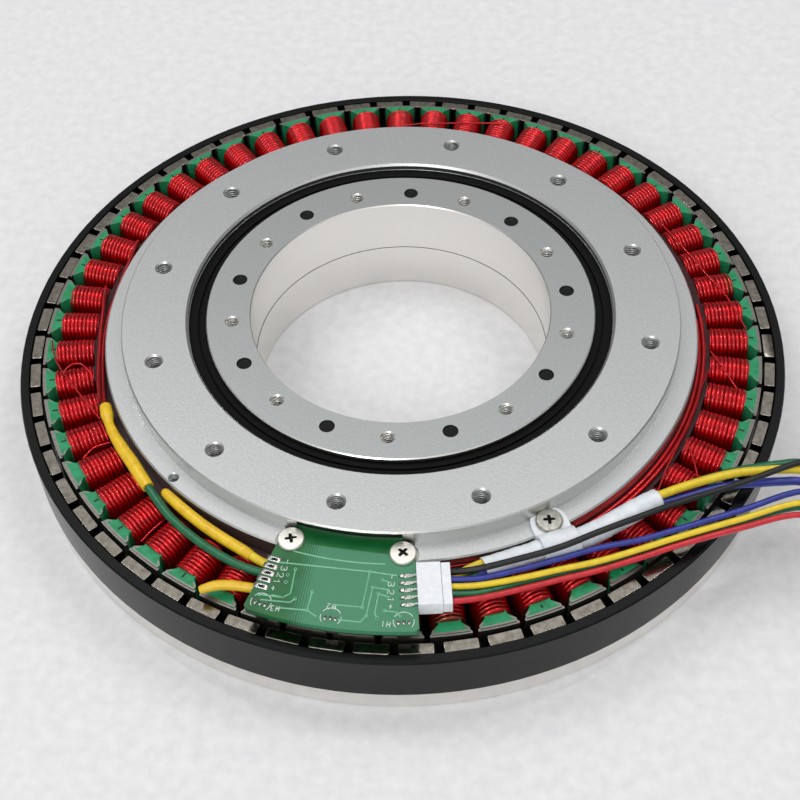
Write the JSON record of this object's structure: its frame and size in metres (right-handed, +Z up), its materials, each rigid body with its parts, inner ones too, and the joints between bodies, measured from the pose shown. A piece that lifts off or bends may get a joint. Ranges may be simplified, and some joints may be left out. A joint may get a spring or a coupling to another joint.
{
  "type": "hollow shaft torque motor",
  "caption": "Flat outrunner torque motor with a wide hollow shaft: wound stator ring and sensor board on an aluminium housing, magnet rotor ring, ball bearing and loose leads.",
  "frame": {"origin": "on the spin axis at the underside of the rotor's base plate, on which the motor stands", "axes": "+Z up the hollow shaft towards the stator's mounting face; the sensor board is at the front near -Y, and the leads leave towards +X"},
  "size_m": [0.3095, 0.216, 0.033],
  "materials": {
    "rotor_aluminium": "bead blasted, clear anodised",
    "housing_aluminium": "bead blasted, clear anodised, bright edges",
    "back_iron": "satin black",
    "magnet_nickel": "satin nickel plate",
    "black_fastener": "black oxide",
    "bearing_steel": "ground",
    "cage_polymer": "moulded",
    "seal_rubber": "satin black",
    "lamination_steel": "bare lamination edges",
    "insulating_coat": "green epoxy powder coat",
    "enamelled_copper": null,
    "circuit_board": "green solder mask",
    "bright_screw": "bright nickel plate",
    "sensor_black": "moulded epoxy",
    "connector_white": "moulded",
    "tinned_pins": "tinned",
    "nylon_white": "moulded nylon",
    "dull_screw": "zinc plate",
    "sleeve_white": "shrink sleeve",
    "sleeve_yellow": "shrink sleeve",
    "lead_green": "extruded insulation",
    "lead_yellow": "extruded insulation",
    "lead_blue": "extruded insulation",
    "lead_black": "extruded insulation",
    "lead_red": "extruded insulation"
  },
  "bodies": {
    "stator": {"bearing_outer_race": "bearing_steel", "bearing_seal_top": "seal_rubber", "bearing_seal_bottom": "seal_rubber", "bearing_snap_ring": "black_fastener", "stator_housing": "housing_aluminium", "stator_core": "lamination_steel", "core_insulation": "insulating_coat", "coil_phase_u": "enamelled_copper", "coil_phase_v": "enamelled_copper", "coil_phase_w": "enamelled_copper", "winding_bundle_left": "enamelled_copper", "winding_bundle_right": "enamelled_copper", "winding_crossovers": "enamelled_copper", "sensor_board": "circuit_board", "board_screws": "bright_screw", "hall_sensor_1": "sensor_black", "hall_sensor_2": "sensor_black", "hall_sensor_3": "sensor_black", "board_connector": "connector_white", "header_pins": "tinned_pins", "connector_plug": "connector_white", "cable_clip": "nylon_white", "clip_screw": "dull_screw", "lead_sleeve": "sleeve_white", "joint_sleeve_1": "sleeve_yellow", "joint_sleeve_2": "sleeve_yellow", "joint_sleeve_3": "sleeve_yellow", "inner_lead_green": "lead_green", "inner_lead_yellow": "lead_yellow", "inner_lead_blue": "lead_blue", "phase_lead_green": "lead_green", "phase_lead_yellow": "lead_yellow", "phase_lead_blue": "lead_blue", "sensor_lead_black": "lead_black", "sensor_lead_blue": "lead_blue", "sensor_lead_yellow": "lead_yellow", "sensor_lead_green": "lead_green", "sensor_lead_red": "lead_red"},
    "rotor": {"rotor_base_plate": "rotor_aluminium", "rotor_back_iron_ring": "back_iron", "magnets_north": "magnet_nickel", "magnets_south": "magnet_nickel", "hub_ring": "rotor_aluminium", "hub_screws": "black_fastener", "bearing_inner_race": "bearing_steel"},
    "ball_set": {"bearing_balls": "bearing_steel", "bearing_cage": "cage_polymer"}
  },
  "joints": [
    {"name": "rotor_spin", "type": "hinge", "parent": "stator", "child": "rotor", "pos_m": [0, 0, 0.0245], "axis": [0, 0, 1], "continuous": true},
    {"name": "ball_set_spin", "type": "hinge", "parent": "stator", "child": "ball_set", "pos_m": [0, 0, 0.0245], "axis": [0, 0, 1], "continuous": true}
  ],
  "couplings": [
    {"joint": "ball_set_spin", "follows": "rotor_spin", "ratio": 0.46667}
  ]
}
